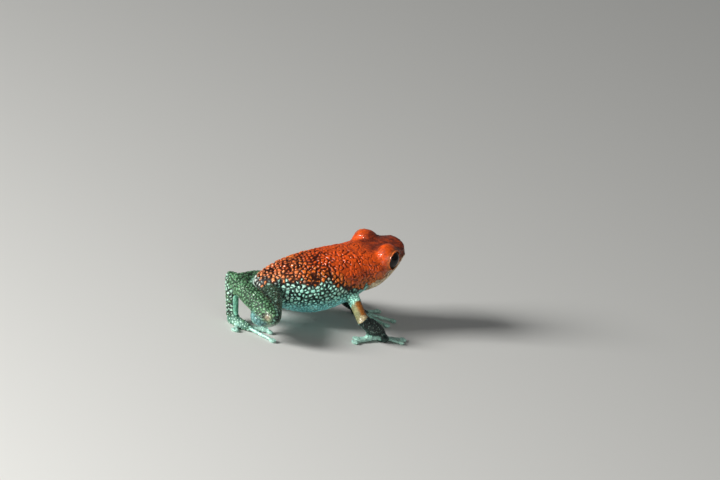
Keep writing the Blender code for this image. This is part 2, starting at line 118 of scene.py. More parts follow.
# Hide
# A frog's skin is one thin, moist sheet over the muscles, with no seam at neck or limbs.
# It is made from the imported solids: swollen until they meet, joined, smoothed and drawn back in.
WELD = 0.001
SWELL, CORNER_SWELL = 0.22, 1.6
VOXEL = 0.10
RELAX_ROUNDS = 10
DRAW_IN_STEPS = 4
SETTLE_ROUNDS, SETTLE_SHARE = 2, 0.35

flesh = sorted(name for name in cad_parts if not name.endswith("_eye"))


def solid_mesh(name):
    """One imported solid, welded, in millimetres."""
    bm = bmesh.new()
    bm.from_mesh(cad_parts[name].data)
    bmesh.ops.scale(bm, vec=(MM, MM, MM), verts=bm.verts)
    bmesh.ops.remove_doubles(bm, verts=bm.verts, dist=WELD)
    bmesh.ops.recalc_face_normals(bm, faces=bm.faces)
    return bm


def joined_solids():
    """All solids of flesh, swollen, in one mesh; and the plain ones as points, triangles and owners."""
    swollen = bmesh.new()
    points, triangles, owners = [], [], []
    for name in flesh:
        bm = solid_mesh(name)
        bmesh.ops.triangulate(bm, faces=bm.faces)
        start = len(points)
        points.extend(vertex.co.copy() for vertex in bm.verts)
        for face in bm.faces:
            triangles.append([start + vertex.index for vertex in face.verts])
            owners.append(name)
        moved = [v.co + v.normal * SWELL * min(v.calc_shell_factor(), CORNER_SWELL) for v in bm.verts]
        added = [swollen.verts.new(place) for place in moved]
        for face in bm.faces:
            swollen.faces.new([added[vertex.index] for vertex in face.verts])
        bm.free()
    mesh = bpy.data.meshes.new("swollen")
    swollen.to_mesh(mesh)
    swollen.free()
    return mesh, points, triangles, owners


def evaluated(mesh, name, kind, **settings):
    """The mesh that a modifier makes of another."""
    holder = bpy.data.objects.new(name, mesh)
    bpy.context.scene.collection.objects.link(holder)
    modifier = holder.modifiers.new(name, kind)
    for key, value in settings.items():
        setattr(modifier, key, value)
    graph = bpy.context.evaluated_depsgraph_get()
    made = bpy.data.meshes.new_from_object(holder.evaluated_get(graph))
    bpy.data.objects.remove(holder, do_unlink=True)
    bpy.data.meshes.remove(mesh)
    return made


class Sheet:
    """A mesh's points and how they join, as arrays."""

    def __init__(self, mesh):
        self.mesh = mesh
        self.count = len(mesh.vertices)
        self.points = np.empty(self.count * 3)
        mesh.vertices.foreach_get("co", self.points)
        self.points = self.points.reshape(-1, 3)
        edges = np.empty(len(mesh.edges) * 2, int)
        mesh.edges.foreach_get("vertices", edges)
        self.starts, self.ends = edges.reshape(-1, 2).T
        self.neighbours = np.bincount(self.starts, minlength=self.count)
        self.neighbours += np.bincount(self.ends, minlength=self.count)
        corners = np.empty(len(mesh.loops), int)
        mesh.loops.foreach_get("vertex_index", corners)
        self.quads = corners.reshape(-1, 4)

    def mean_around(self, values):
        """The mean of each point's neighbours."""
        total = np.bincount(self.starts, values[self.ends], self.count)
        total += np.bincount(self.ends, values[self.starts], self.count)
        return total / self.neighbours

    def spread(self, values, rounds):
        """Values that have run a little into their surroundings."""
        for _ in range(rounds):
            values = (values + self.mean_around(values)) / 2
        return values

    def relax(self, rounds, share=0.5):
        """Draws each point towards the mean of its neighbours."""
        for _ in range(rounds):
            means = np.stack([self.mean_around(self.points[:, axis]) for axis in range(3)], axis=1)
            self.points += (means - self.points) * np.reshape(share, (-1, 1))

    def normals(self):
        """The way that the surface faces at each point."""
        corners = self.points[self.quads]
        facing = np.cross(corners[:, 2] - corners[:, 0], corners[:, 3] - corners[:, 1])
        total = np.stack([
            np.bincount(self.quads.ravel(), np.repeat(facing[:, axis], 4), self.count) for axis in range(3)
        ], axis=1)
        return total / np.maximum(np.linalg.norm(total, axis=1, keepdims=True), 1e-12)

    def store(self):
        """Writes the points back to the mesh."""
        self.mesh.vertices.foreach_set("co", self.points.ravel())
        self.mesh.update()
        return self.mesh


swollen_mesh, solid_points, solid_triangles, solid_owners = joined_solids()
rough = Sheet(evaluated(swollen_mesh, "joined", "REMESH", mode="VOXEL", voxel_size=VOXEL))
rough.relax(RELAX_ROUNDS)
for _ in range(DRAW_IN_STEPS):
    rough.points -= rough.normals() * SWELL / DRAW_IN_STEPS
    rough.relax(SETTLE_ROUNDS, SETTLE_SHARE)
hide = Sheet(evaluated(rough.store(), "finer", "SUBSURF", levels=1, render_levels=1))

# Which solid each point of the hide came from, as shares of the frog's regions. Rounds of spreading
# soften them, so that one region runs over into the next.
REGIONS = ["head", "lower_jaw", "torso", "upper_arm", "forearm", "hand", "finger",
           "thigh", "shank", "tarsus", "foot", "toe"]
REGION_SOFTNESS = 24

solid_tree = BVHTree.FromPolygons(solid_points, solid_triangles)
owner = np.array([solid_owners[solid_tree.find_nearest(Vector(point))[2]] for point in hide.points])
share = {
    region: hide.spread(np.char.find(owner, region).clip(-1, 0) + 1.0, REGION_SOFTNESS)
    for region in REGIONS
}

# Fingers and toes
# Each digit is a thin rod of skin over its bones, a little swollen at the joints, and ends in a disc
# that carries two small shields side by side on its top, parted by a groove.
# A range is the start and the end of a soft change, here measured back from the digit's tip.
KNUCKLES = (1.20, 2.05, 2.95)
KNUCKLE_RISE, KNUCKLE_WIDTH = 0.030, 0.17
DISC_MIDDLE, DISC_REACH = 0.34, 0.30
DISC_SPREAD, DISC_CORE = 0.12, 0.12
DIGIT_THINNING, THINNING_RANGE = 0.045, (0.55, 0.85)
SHIELD_GROOVE, GROOVE_WIDTH = 0.070, 0.060
GROOVE_START, GROOVE_END = (-0.1, 0.15), (0.50, 0.62)
UPPER_SIDE = (0.2, 0.7)


def bump(distance, width):
    """1 at no distance, and less further off."""
    return np.exp(-(distance / width) ** 2)


def reach_to_line(points, start, end):
    """How far each point is from a line between two points."""
    line = np.subtract(end, start)
    along = np.clip((points - np.array(start)) @ line / (line @ line), 0, 1)
    return np.linalg.norm(points - np.array(start) - along[:, None] * line, axis=1)


facing = hide.normals()
moved = np.zeros(hide.count)
for name in flesh:
    if "finger" not in name and "toe" not in name:
        continue
    root_low, root_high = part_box(name.split("_")[0] + ("_hand" if "finger" in name else "_foot"))
    root = np.array((root_low + root_high) / 2)[:2] * MM
    outline = np.array([vertex.co[:2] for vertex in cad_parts[name].data.vertices]) * MM
    middle = outline.mean(axis=0)
    along = np.linalg.svd(outline - middle, full_matrices=False)[2][0]
    along *= np.sign((middle - root) @ along)
    tip = ((outline - middle) @ along).max()
    own = np.where(owner == name)[0]
    offset = hide.points[own][:, :2] - middle
    behind = tip - offset @ along
    beside = offset @ np.array([-along[1], along[0]])
    spread = DISC_SPREAD * bump(behind - DISC_MIDDLE, DISC_REACH) * np.tanh(beside / DISC_CORE)
    hide.points[own, :2] += spread[:, None] * np.array([-along[1], along[0]])
    swelling = sum(bump(behind - knuckle, KNUCKLE_WIDTH) for knuckle in KNUCKLES) * KNUCKLE_RISE
    groove = bump(beside, GROOVE_WIDTH) * smooth(facing[own, 2], *UPPER_SIDE) * SHIELD_GROOVE
    groove *= smooth(behind, *GROOVE_START) * (1 - smooth(behind, *GROOVE_END))
    moved[own] = swelling - groove - DIGIT_THINNING * smooth(behind, *THINNING_RANGE)
hide.points += facing * moved[:, None]

# Lids, mouth, nostrils and ears
# The lids are thick rims of skin that hug the eyeballs; the mouth is a long crease between two soft
# lips; the nostrils are pits beside the snout, and the ears are bare discs behind the mouth's corners.
GAZE = (0.45, 1.0, 0.14)
SOCKET_RADIUS, LID_RADIUS = 1.48, 1.68
LID_REACH = 0.60
LID_CLEARANCE = 0.012
# The lids' edge is a slanting oval round the gaze. Angles are in degrees, the ranges from the edge.
LID_EDGE, EDGE_SOFTNESS = 60.0, 26.0
EDGE_NARROWING, EDGE_SLANT, SLANT_TURN = -3.0, -12.0, math.radians(98)
LID_MARGIN, THICKENING = 0.12, (-4.0, 40.0)
RIM_COLOUR, SMOOTH_LID = (3.0, 13.0), (12.0, 50.0)
LID_FOLD, FOLD_WIDTH, FOLD_DEPTH = 1.98, 0.13, 0.02
FOLD_HEIGHTS, FOLD_STATIONS = (0.6, 1.4), (12.6, 13.4)
MOUTH_STATION, MOUTH_HEIGHT = 17.0, -0.65
MOUTH_SLOPE = math.radians(9.0)
MOUTH_CORNER = (12.1, 12.8)
CREASE_WIDTH, CREASE_DEPTH = 0.085, 0.16
LIP_MIDDLE, LIP_WIDTH, LIP_RISE = 0.24, 0.13, 0.05
SKULL_STATION = 11.0
NOSTRIL = (17.1, 1.25, 0.55)
NOSTRIL_WIDTH, NOSTRIL_DEPTH = 0.11, 0.17
NOSTRIL_RIM, RIM_WIDTH, RIM_RISE = 0.22, 0.08, 0.04
EAR = (12.45, 3.2, -0.10)
EAR_RADIUS, EAR_RIM_WIDTH, EAR_SOFTNESS = 0.50, 0.09, (0.38, 0.52)

facing = hide.normals()
station, across, height = along_body(hide.points)
lid_edge = np.zeros(hide.count)
lid = np.zeros(hide.count)


def fit_lids(side, sign):
    """Draws the socket in to the eyeball and thins the lids towards their edge."""
    low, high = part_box(side + "_eye")
    centre = np.array((low + high) / 2) * MM
    ball = (high.z - low.z) / 2 * MM
    axes = body_turn(float(along_body(centre[None])[0][0]))
    gaze = axes @ np.array([GAZE[0], sign * GAZE[1], GAZE[2]])
    gaze /= np.linalg.norm(gaze)
    top = axes[:, 2] - gaze * (axes[:, 2] @ gaze)
    top /= np.linalg.norm(top)
    front = np.cross(top, gaze) * sign
    near = np.where(np.linalg.norm(hide.points - centre, axis=1) < LID_RADIUS + LID_REACH)[0]
    offset = hide.points[near] - centre
    radius = np.linalg.norm(offset, axis=1)
    away = offset / radius[:, None]
    angle = np.degrees(np.arccos(np.clip(away @ gaze, -1, 1)))
    around = np.arctan2(away @ top, away @ front)
    layer = np.clip((radius - SOCKET_RADIUS) / (LID_RADIUS - SOCKET_RADIUS), 0, 1)
    full = LID_RADIUS - ball
    past_edge = angle - LID_EDGE
    thick = LID_MARGIN + (full - LID_MARGIN) * smooth(past_edge, *THICKENING)
    fitted = ball + LID_CLEARANCE + layer * thick
    beyond = radius > LID_RADIUS
    settle = 1 - smooth(radius, LID_RADIUS, LID_RADIUS + LID_REACH)
    fitted[beyond] = (radius - (full - thick) * settle)[beyond]
    tilt = EDGE_NARROWING + EDGE_SLANT * np.cos(around - SLANT_TURN)
    new_angle = np.radians(angle + tilt * bump(past_edge, EDGE_SOFTNESS) * settle)
    sideways = away - gaze * (away @ gaze)[:, None]
    sideways /= np.maximum(np.linalg.norm(sideways, axis=1, keepdims=True), 1e-9)
    new_away = gaze * np.cos(new_angle)[:, None] + sideways * np.sin(new_angle)[:, None]
    hide.points[near] = centre + new_away * fitted[:, None]
    lid_edge[near] = (1 - smooth(past_edge, *RIM_COLOUR)) * settle
    lid[near] = (1 - smooth(past_edge, *SMOOTH_LID)) * settle
    return centre, ball, gaze


eyes = {side: fit_lids(side, sign) for side, sign in (("right", -1), ("left", 1))}

mouth_axes = body_turn(MOUTH_STATION) @ turned("Y", -MOUTH_SLOPE)
mouth_over = (hide.points - on_body(MOUTH_STATION, 0.0, MOUTH_HEIGHT)) @ mouth_axes[:, 2]
in_mouth = smooth(station, *MOUTH_CORNER)
crease = bump(mouth_over, CREASE_WIDTH) * in_mouth
lips = bump(abs(mouth_over) - LIP_MIDDLE, LIP_WIDTH) * in_mouth
moved = LIP_RISE * lips - CREASE_DEPTH * crease

nostril_pit = np.zeros(hide.count)
ear_disc = np.zeros(hide.count)
ear_rim = np.zeros(hide.count)
skull = np.where(station > SKULL_STATION)[0]
skull_tree = KDTree(len(skull))
for i in skull:
    skull_tree.insert(Vector(hide.points[i]), int(i))
skull_tree.balance()
for sign in (-1, 1):
    spot = skull_tree.find(Vector(on_body(NOSTRIL[0], sign * NOSTRIL[1], NOSTRIL[2])))[0]
    reach = np.linalg.norm(hide.points - np.array(spot), axis=1)
    nostril_pit += bump(reach, NOSTRIL_WIDTH)
    moved += RIM_RISE * bump(reach - NOSTRIL_RIM, RIM_WIDTH) - NOSTRIL_DEPTH * bump(reach, NOSTRIL_WIDTH)
    spot = skull_tree.find(Vector(on_body(EAR[0], sign * EAR[1], EAR[2])))[0]
    reach = np.linalg.norm(hide.points - np.array(spot), axis=1)
    ear_disc += 1 - smooth(reach, *EAR_SOFTNESS)
    ear_rim += bump(reach - EAR_RADIUS, EAR_RIM_WIDTH)

# Brow
# Bone under the skin gives a ridge from each eye to its nostril, with a hollow cheek under it, and
# the crown is a little hollow between the eyes. Places are stations, across and over the spine.
BROW_REAR, BROW_FRONT = (15.6, 2.0, 1.15), (17.5, 1.1, 0.90)
BROW_RISE, BROW_WIDTH = 0.11, 0.33
CHEEK_HOLLOW, CHEEK_REACH, CHEEK_DEPTH = (16.4, 2.0, 0.2), (0.8, 1.0, 0.5), 0.10
CROWN_HOLLOW, CROWN_REACH, CROWN_DEPTH = (14.4, 0.0, 2.0), (1.9, 0.9, 1.0), 0.05


def hollow(middle, reach):
    """1 in the middle of an oval hollow, and less further out."""
    return bump(np.linalg.norm((in_body - np.array(middle)) / np.array(reach), axis=1), 1.0)


in_body = np.stack([station, across, height], axis=1)
for sign in (-1, 1):
    rear, front, cheek = [np.array(spot) * (1, sign, 1) for spot in (BROW_REAR, BROW_FRONT, CHEEK_HOLLOW)]
    moved += BROW_RISE * bump(reach_to_line(in_body, rear, front), BROW_WIDTH)
    moved -= CHEEK_DEPTH * hollow(cheek, CHEEK_REACH)
moved -= CROWN_DEPTH * hollow(CROWN_HOLLOW, CROWN_REACH)
lid_fold = np.zeros(hide.count)
for centre, ball, gaze in eyes.values():
    lid_fold += bump(np.linalg.norm(hide.points - centre, axis=1) - LID_FOLD, FOLD_WIDTH)
lid_fold *= smooth(height, *FOLD_HEIGHTS) * smooth(station, *FOLD_STATIONS)
moved -= FOLD_DEPTH * lid_fold
facing = hide.normals()
hide.points += facing * moved[:, None]

# Granules
# The hide is paved with low, rounded warts of a quarter to half a millimetre: apart and dark between
# on flanks, rump and legs, close on the front of the back, and fading out on crown, lids and digits.
# Every range is the start and the end of a soft change: stations along the body, heights over the
# spine, distances out from it, or the share of the skin that faces a way.
# From one granule to the next, and how high they stand.
SPACING = {"head": 0.41, "lower_jaw": 0.32, "torso": 0.50, "upper_arm": 0.30, "forearm": 0.23,
           "hand": 0.26, "finger": 0.24, "thigh": 0.36, "shank": 0.42, "tarsus": 0.40, "foot": 0.36,
           "toe": 0.27}
RELIEF = {"head": 0.095, "lower_jaw": 0.035, "torso": 0.140, "upper_arm": 0.050, "forearm": 0.055,
          "hand": 0.040, "finger": 0.010, "thigh": 0.080, "shank": 0.080, "tarsus": 0.090, "foot": 0.075,
          "toe": 0.020}
# How far apart the granules stand, as a share of the most.
OPENNESS = {"head": 0.15, "lower_jaw": 0.1, "torso": 0.85, "upper_arm": 0.35, "forearm": 0.8,
            "hand": 0.5, "finger": 0.0, "thigh": 0.6, "shank": 0.65, "tarsus": 0.9, "foot": 0.8,
            "toe": 0.2}
# How close two seeds may lie as a share of the spacing, how far the edges of the granules waver, and
# how much their sizes and heights vary.
SEED_CLOSENESS, NEAREST_SEEDS, SEED_PHASES = 0.82, 3, (5.0, 15.0)
WOBBLE, WOBBLE_LENGTH = 0.028, 0.42
GRANULE_SIZES, GRANULE_RISES = (0.70, 1.30), (0.75, 1.2)
# As shares of the spacing: the widest gap, how it varies from seam to seam, how far it takes to rise
# from a gap, and how far a granule with no close neighbour reaches.
WIDEST_GAP, NARROW_SEAM, SEAM_SPREAD = 0.34, 0.4, 1.2
GAP_SLOPE = 0.50
LONE_RADIUS, LONE_SLOPE, CLOSE_EXTRA = 0.64, 1.6, 0.5
# How full the domes are, how many stay low, and the level in them that the plain hide has.
DOME_FULLNESS = 2.2
LOW_GRANULES, LOW_RISE = 0.07, 0.35
GRANULE_BASE = 0.45
# On belly and head the granules are finer and flatter.
BELLY_HEIGHTS, BELLY_FINER, BELLY_FLATTER, BELLY_CLOSER = (-2.4, -0.6), 0.28, 0.40, 0.75
CROWN_STATIONS, CROWN_HEIGHTS, SNOUT_STATIONS = (12.0, 13.4), (0.3, 1.1), (15.8, 16.6)
HEAD_FINER, HEAD_FLATTER, BARE_FLATTER, CREASE_FLATTER = 0.25, 0.55, 0.85, 0.7
# They close up on the front of the back, stand apart on the rump, and vary from place to place.
FRONT_STATIONS, FRONT_HEIGHTS, FRONT_CLOSER = (4.5, 9.0), (0.0, 1.5), 0.50
RUMP_STATIONS, RUMP_OPENER = (-0.5, 1.5), 0.30
UNEVENNESS, UNEVEN_LENGTH = 0.22, 1.7
# The arm's lower half, a pale highlight painted on its elbow, the bare strip before the heel and the
# undersides of the legs.
FORWARD, OUTWARD = 0.82, 0.57
SURE_REGION = (0.35, 0.65)
LOWER_ARM, ELBOW_HIGHLIGHT = (4.2, 4.9), (6.70, 7.05)
ARM_BLUR, ARM_BLUR_LENGTH = 0.25, 0.8
STRIP_FACING, UNDER_FACING = (0.05, 0.35), (0.45, 0.85)
# Height over the spine, at stations along it, where the orange of the back ends. Its edge is lobed,
# with dark clefts between the lobes, and it lies lower on the left of the rump.
BORDER = [(-4.0, 1.0), (-1.2, 1.20), (0.2, 1.35), (1.0, 1.35), (2.0, 1.15), (3.6, 1.45), (4.5, 1.1),
          (6.0, 1.3), (7.2, 0.55), (8.0, -0.1), (8.7, -0.6), (9.6, -0.85), (10.2, -1.2), (11.3, -1.0),
          (20.0, -1.0)]
LEFT_SIDE, LEFT_STATIONS, LEFT_DROP = (0.0, 1.0), (2.0, 4.0), 0.45
LOBE_LENGTH, LOBE_STRETCH = 1.3, (1.0, 1.0, 0.35)
CLEFTS, CLEFT_HEIGHT, CLEFT_WIDTH, CLEFT_SHARE = (0.75, 1.20), 0.40, 0.65, 0.8
DARK_LINE, LINE_WIDTH = (-0.3, 0.8), 0.12
CLEFT_OPENER, CLEFT_FLATTER, CLEFT_DARKER = 0.9, 0.6, 0.85
# Some neighbours have grown together, most of them on the front of the back and the head.
FEWEST_MERGED, MERGED_STATIONS, MERGED_HEIGHTS = 0.20, (5.0, 9.5), (0.0, 0.8)
MERGED_SEAMS, MERGED_SHAPE, MERGED_COLOUR = (0.30, 0.75), 0.45, 0.8
# From the hips: a smooth pale fold under each calf, and the crease and worn patch beside a knee.
CALF_FOLDS = [((-6.06, -7.03, -1.08), (-5.38, -8.47, -1.56)), ((3.26, 6.22, -2.13), (4.64, 7.06, -2.47))]
CALF_FOLD_EDGE, FOLD_BLUR, BLUR_LENGTH = (0.17, 0.97), 0.10, 0.9
KNEE_CREASE = ((-5.38, -8.29, -0.26), (-5.39, -8.50, -0.67))
KNEE_CREASE_WIDTH, KNEE_CREASE_DEPTH = 0.10, 0.07
WORN_PATCH, WORN_REACH = (-5.16, -8.96, -0.47), 0.42
# Fine wrinkles run lengthwise on crown and snout, drawn coarser than in life so that they show.
WRINKLE_LENGTH, WRINKLE_STRETCH, WRINKLE_RISE = 0.42, (0.22, 1.0, 0.6), 0.012
WAVE_SPREAD = (0.7, 1.4)
random = np.random.default_rng(7)


def ripples(points, length, count=9):
    """A smooth random field with bumps of about a length, from a few waves across each other."""
    total = np.zeros(len(points))
    for _ in range(count):
        direction = random.normal(size=3)
        direction *= 2 * math.pi / (length * np.linalg.norm(direction) * random.uniform(*WAVE_SPREAD))
        total += np.sin(points @ direction + random.uniform(0, 2 * math.pi))
    return total / math.sqrt(count)


def by_region(table):
    """A value of each region, mixed where regions meet."""
    return sum(table[region] * share[region] for region in REGIONS)


def scattered(points, spacing):
    """Which points to keep so that no two lie nearer than their spacing."""
    cell = spacing.max()
    kept, grid = [], {}
    places = points.tolist()
    cells = np.floor(points / cell).astype(int).tolist()
    reach = (spacing ** 2).tolist()
    around = [(i, j, k) for i in (-1, 0, 1) for j in (-1, 0, 1) for k in (-1, 0, 1)]
    for index in random.permutation(len(points)).tolist():
        x, y, z = places[index]
        a, b, c = cells[index]
        free = True
        for i, j, k in around:
            for u, v, w in grid.get((a + i, b + j, c + k), ()):
                if (u - x) ** 2 + (v - y) ** 2 + (w - z) ** 2 < reach[index]:
                    free = False
                    break
            if not free:
                break
        if free:
            kept.append(index)
            grid.setdefault((a, b, c), []).append((x, y, z))
    return np.array(kept)


station, across, height = along_body(hide.points)
in_body = np.stack([station, across, height], axis=1)
from_hips = hide.points - hips
outward = facing.copy()
outward[:, 1] *= np.where(across < 0, -1.0, 1.0)
belly = share["torso"] * (1 - smooth(height, *BELLY_HEIGHTS))
crown = share["head"] * smooth(station, *CROWN_STATIONS) * smooth(height, *CROWN_HEIGHTS)
snout = share["head"] * smooth(station, *SNOUT_STATIONS)
fold = np.zeros(hide.count)
for start, end in CALF_FOLDS:
    reach = reach_to_line(from_hips, start, end) + FOLD_BLUR * ripples(hide.points, BLUR_LENGTH)
    fold = np.maximum(fold, 1 - smooth(reach, *CALF_FOLD_EDGE))
fold *= share["shank"]
knee_crease = bump(reach_to_line(from_hips, *KNEE_CREASE), KNEE_CREASE_WIDTH) * share["shank"]
worn = bump(np.linalg.norm(from_hips - np.array(WORN_PATCH), axis=1), WORN_REACH) * share["shank"]
leaning = FORWARD * outward[:, 0] + OUTWARD * outward[:, 1]
arm = smooth(share["upper_arm"], *SURE_REGION)
arm_low = arm * smooth(abs(across) + ARM_BLUR * ripples(hide.points, ARM_BLUR_LENGTH), *LOWER_ARM)
# The outer end of the upper arm, where a pale highlight is painted on the elbow.
elbow_highlight = arm * smooth(abs(across), *ELBOW_HIGHLIGHT)
strip = smooth(leaning, *STRIP_FACING) * smooth(share["tarsus"], *SURE_REGION)
under = (share["shank"] + share["thigh"]) * smooth(-facing[:, 2], *UNDER_FACING)
bare = np.clip(np.maximum.reduce([crown, snout, lid, ear_disc, 0.5 * fold, strip, under]), 0, 1)
flat = 0.8 * lid + ear_disc + 0.6 * worn + 0.5 * arm_low + 0.5 * fold + strip + under
on_back = smooth(station, *FRONT_STATIONS) * smooth(height, *FRONT_HEIGHTS)
on_rump = 1 - smooth(station, *RUMP_STATIONS)

spacing = by_region(SPACING)
spacing *= 1 - BELLY_FINER * belly
spacing *= 1 - HEAD_FINER * np.clip(crown + snout + lid + ear_disc, 0, 1)
relief = by_region(RELIEF)
relief *= 1 - BELLY_FLATTER * belly
relief *= 1 - HEAD_FLATTER * np.clip(crown + snout, 0, 1)
relief *= 1 - BARE_FLATTER * np.clip(flat, 0, 1)
relief *= 1 - CREASE_FLATTER * np.clip(crease + nostril_pit, 0, 1)
openness = by_region(OPENNESS) * (1 - BELLY_CLOSER * belly) * (1 - bare)
openness += (RUMP_OPENER * on_rump - FRONT_CLOSER * on_back) * share["torso"]
openness += UNEVENNESS * ripples(hide.points, UNEVEN_LENGTH)

border = np.interp(station, *np.array(BORDER).T)
border -= LEFT_DROP * smooth(across, *LEFT_SIDE) * (1 - smooth(station, *LEFT_STATIONS))
over_border = height - border
lobes = ripples(in_body * LOBE_STRETCH, LOBE_LENGTH)
cleft = CLEFT_SHARE * smooth(lobes, *CLEFTS) * bump(over_border - CLEFT_HEIGHT, CLEFT_WIDTH)
cleft += bump(over_border, LINE_WIDTH) * smooth(lobes, *DARK_LINE)
cleft = np.clip(cleft * share["torso"], 0, 1)
openness = np.clip(openness + CLEFT_OPENER * cleft, 0, 1)

# Each granule grows round a seed. A point belongs to the seed that is nearest for that seed's size,
# and lies in a gap where the next seed is nearly as near, or where its own is too far.
seeds = scattered(hide.points, spacing * SEED_CLOSENESS)
seed_tree = KDTree(len(seeds))
for number, index in enumerate(seeds):
    seed_tree.insert(Vector(hide.points[index]), number)
seed_tree.balance()
wobble = np.stack([ripples(hide.points, WOBBLE_LENGTH) for _ in range(3)], axis=1) * WOBBLE
near_seeds = np.empty((hide.count, NEAREST_SEEDS), int)
near_reach = np.empty((hide.count, NEAREST_SEEDS))
for i, point in enumerate(hide.points + wobble):
    found = seed_tree.find_n(Vector(point), NEAREST_SEEDS)
    near_seeds[i] = [entry[1] for entry in found]
    near_reach[i] = [entry[2] for entry in found]
seed_size = random.uniform(*GRANULE_SIZES, len(seeds))
scaled = near_reach / seed_size[near_seeds] / spacing[:, None]
order = np.argsort(scaled, axis=1)
scaled = np.take_along_axis(scaled, order, 1)
own_seed, other_seed = np.take_along_axis(near_seeds, order, 1)[:, :2].T
seed_phase = random.uniform(*SEED_PHASES, len(seeds))
# A number of its own, from 0 to 1, for each seam between two granules.
seam = seed_phase[own_seed] * seed_phase[other_seed] % 1
within = scaled[:, 1] - scaled[:, 0] - WIDEST_GAP * openness * (NARROW_SEAM + SEAM_SPREAD * seam)
alone = (LONE_RADIUS - scaled[:, 0]) * LONE_SLOPE + CLOSE_EXTRA * (1 - openness)
inside = np.clip(np.minimum(within, alone) / GAP_SLOPE, 0, 1)
merging = smooth(station, *MERGED_STATIONS) * smooth(over_border, *MERGED_HEIGHTS)
merging = FEWEST_MERGED + (1 - FEWEST_MERGED) * merging
merging *= (1 - smooth(seam, *MERGED_SEAMS)) * (1 - cleft)
inside = 1 - (1 - inside) * (1 - MERGED_SHAPE * merging)
dome = 1 - (1 - inside) ** DOME_FULLNESS
seed_rise = random.uniform(*GRANULE_RISES, len(seeds))
low_granules = random.random(len(seeds)) < LOW_GRANULES * (1 - bare[seeds])
seed_rise[low_granules] = LOW_RISE
granule = dome * seed_rise[own_seed] * (1 - CLEFT_FLATTER * cleft)

wrinkles = ripples(in_body * WRINKLE_STRETCH, WRINKLE_LENGTH)
facing = hide.normals()
moved = relief * (granule - GRANULE_BASE) - KNEE_CREASE_DEPTH * knee_crease
moved += WRINKLE_RISE * wrinkles * np.clip(crown + 0.6 * snout, 0, 1) * (1 - 0.6 * lid)
hide.points += facing * moved[:, None]
hide.points[:, 2] = np.maximum(hide.points[:, 2], 0)

# Colours of the hide
# The pigment lies in each granule and in the skin between them, so that a granule is mostly of one
# colour. Back and head are orange-red, flanks and belly turquoise, limbs grey-green and digits pale.
# Ranges are as in the granules. A wander moves each border from granule to granule, and a part's
# share of a granule has to be sure, or nearly, for the granule to take that part's colour.
WANDER, WANDER_LENGTH, JITTER = 0.16, 3.0, 0.18
SURE, NEARLY, SOFTNESS = 0.5, 0.4, 0.06
LIP_TOP, LIP_WANDER, LIP_LEAST = 0.35, 0.3, 0.08
RUMP_END, RUMP_EDGE, RUMP_WANDER = 0.35, 0.1, 1.5
REAR_STATIONS, REAR_WANDER = (1.0, 5.5), 3
PEACH_LEAST, PEACH_MORE, PEACH_JITTER = 0.25, 0.5, 0.1
PEACH_HEIGHTS, PEACH_AT_BORDER = (0.1, 0.9), 0.6
MINT_MIDDLE, MINT_WIDTH, MINT_SHARE = -0.25, 0.35, 0.8
MINT_FRONT, MINT_FRONT_LESS = 7.5, 0.4
GOLD_MIDDLE, GOLD_WIDTH, GOLD_STATIONS, GOLD_SHARE = 0.3, 0.8, (1.5, 4.0), 0.8
# Granules whose jitter is over the first number are paler, by the second.
PALER = {"torso": (1.3, 0.4), "forearm": (0.5, 0.30), "thigh": (0.6, 0.35), "foot": (-0.2, 0.55)}
JAW_STATIONS, LIP_HEIGHTS, LIP_OFFSET = (10.5, 11.1), (0.28, 0.50), 0.05
CHEEK_HEIGHT, CHEEK_WIDTH, CHEEK_STATIONS = 0.55, 0.28, (13.0, 14.0)
STREAK_HEIGHT, STREAK_WIDTH, STREAK_START, STREAK_END = 0.62, 0.08, (12.6, 13.4), (14.8, 15.6)
LID_OUT, LID_BLUR, THROAT, TANNED_FACING = (1.3, 1.9), 0.12, (0.7, 1.5), (-0.80, -0.05)
BLOTCHES, BLOTCH_LENGTH = (0.0, 0.8), 0.7
FINE_BLUR, FINE_LENGTH, STREAK_BLUR, STREAK_LENGTH = 0.10, 0.8, 0.05, 1.1


def mostly(score):
    """1 where a score is over zero and 0 where it is under, for one granule nearly all or nothing."""
    return smooth(score, -SOFTNESS, SOFTNESS)


def paler(place, score):
    """The paler granules of a part of the body."""
    least, strength = PALER[place]
    return (jitter > least) * strength * mostly(score)


at = {name: values[seeds] for name, values in {
    "station": station, "belly": belly, "mouth": mouth_over, "in_mouth": in_mouth,
    "over_border": over_border, "body": share["torso"] + share["head"] + share["lower_jaw"],
    **share}.items()}
jitter = random.normal(0, 1, len(seeds))
wander = ripples(hide.points[seeds], WANDER_LENGTH) * WANDER + jitter * JITTER
over_edge = at["over_border"] + wander
back = mostly(over_edge) * mostly(at["body"] - SURE)
back *= 1 - mostly(at["in_mouth"] * (LIP_TOP - at["mouth"] + wander * LIP_WANDER) - LIP_LEAST)
back *= 1 - mostly(at["lower_jaw"] - NEARLY)
rump = mostly(RUMP_END - at["station"] + RUMP_WANDER * wander) * mostly(at["torso"] - NEARLY)
rump *= 1 - mostly(over_edge - RUMP_EDGE)
rear = 1 - smooth(at["station"] + REAR_WANDER * wander, *REAR_STATIONS)
peach = PEACH_LEAST + PEACH_MORE * (jitter > PEACH_JITTER)
peach = rear * (peach + PEACH_AT_BORDER * (1 - smooth(over_edge, *PEACH_HEIGHTS)))
gold = bump(over_edge - GOLD_MIDDLE, GOLD_WIDTH) * smooth(at["station"], *GOLD_STATIONS)
mint = bump(over_edge - MINT_MIDDLE, MINT_WIDTH) * mostly(at["torso"] - SURE)
mint *= MINT_SHARE - MINT_FRONT_LESS * (at["station"] > MINT_FRONT)
mint += paler("torso", at["torso"] - SURE) + paler("forearm", at["forearm"] - SURE)
mint += paler("thigh", at["thigh"] - SURE) + paler("foot", at["tarsus"] + at["foot"] - NEARLY)
